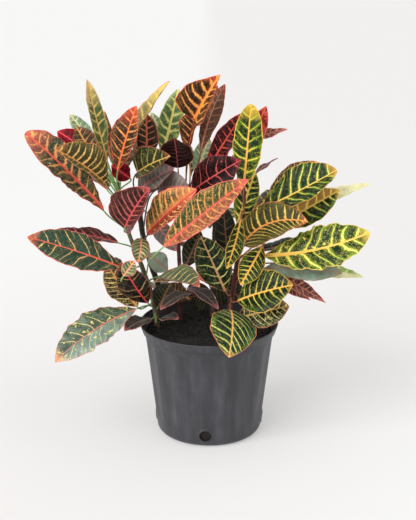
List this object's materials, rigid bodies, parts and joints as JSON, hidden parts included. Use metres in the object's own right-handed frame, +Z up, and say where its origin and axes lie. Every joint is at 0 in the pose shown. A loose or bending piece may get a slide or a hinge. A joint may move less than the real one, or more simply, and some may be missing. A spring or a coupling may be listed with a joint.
{
  "type": "potted_croton",
  "caption": "Potted croton: thin woody stems with waxy dark leaves veined coral, orange and yellow, rooted in a black fluted plastic nursery pot of dark soil.",
  "frame": {"origin": "the middle of the pot's flat underside, on the ground", "axes": "+Z up along the pot's axis; -Y is the front of the plant as pictured; +X to the right seen from the front"},
  "size_m": [0.6109, 0.3898, 0.6704],
  "materials": {
    "black_plastic": "satin moulded plastic with faint scuffs",
    "soil": "crumbly damp potting soil",
    "left_foliage": "waxy leaves, dark green and maroon with coral and yellow veins",
    "centre_left_foliage": "waxy leaves, dark green with coral and yellow veins",
    "centre_foliage": "waxy leaves, near black and maroon with orange and red veins",
    "right_foliage": "waxy leaves, dark green with yellow veins and orange edges",
    "back_foliage": "waxy leaves, dark green with yellow veins"
  },
  "bodies": {
    "root": {"pot": "black_plastic", "potting_soil": "soil", "left_stem": "left_foliage", "centre_left_stem": "centre_left_foliage", "centre_stem": "centre_foliage", "right_stem": "right_foliage", "back_stem": "back_foliage"}
  },
  "joints": []
}
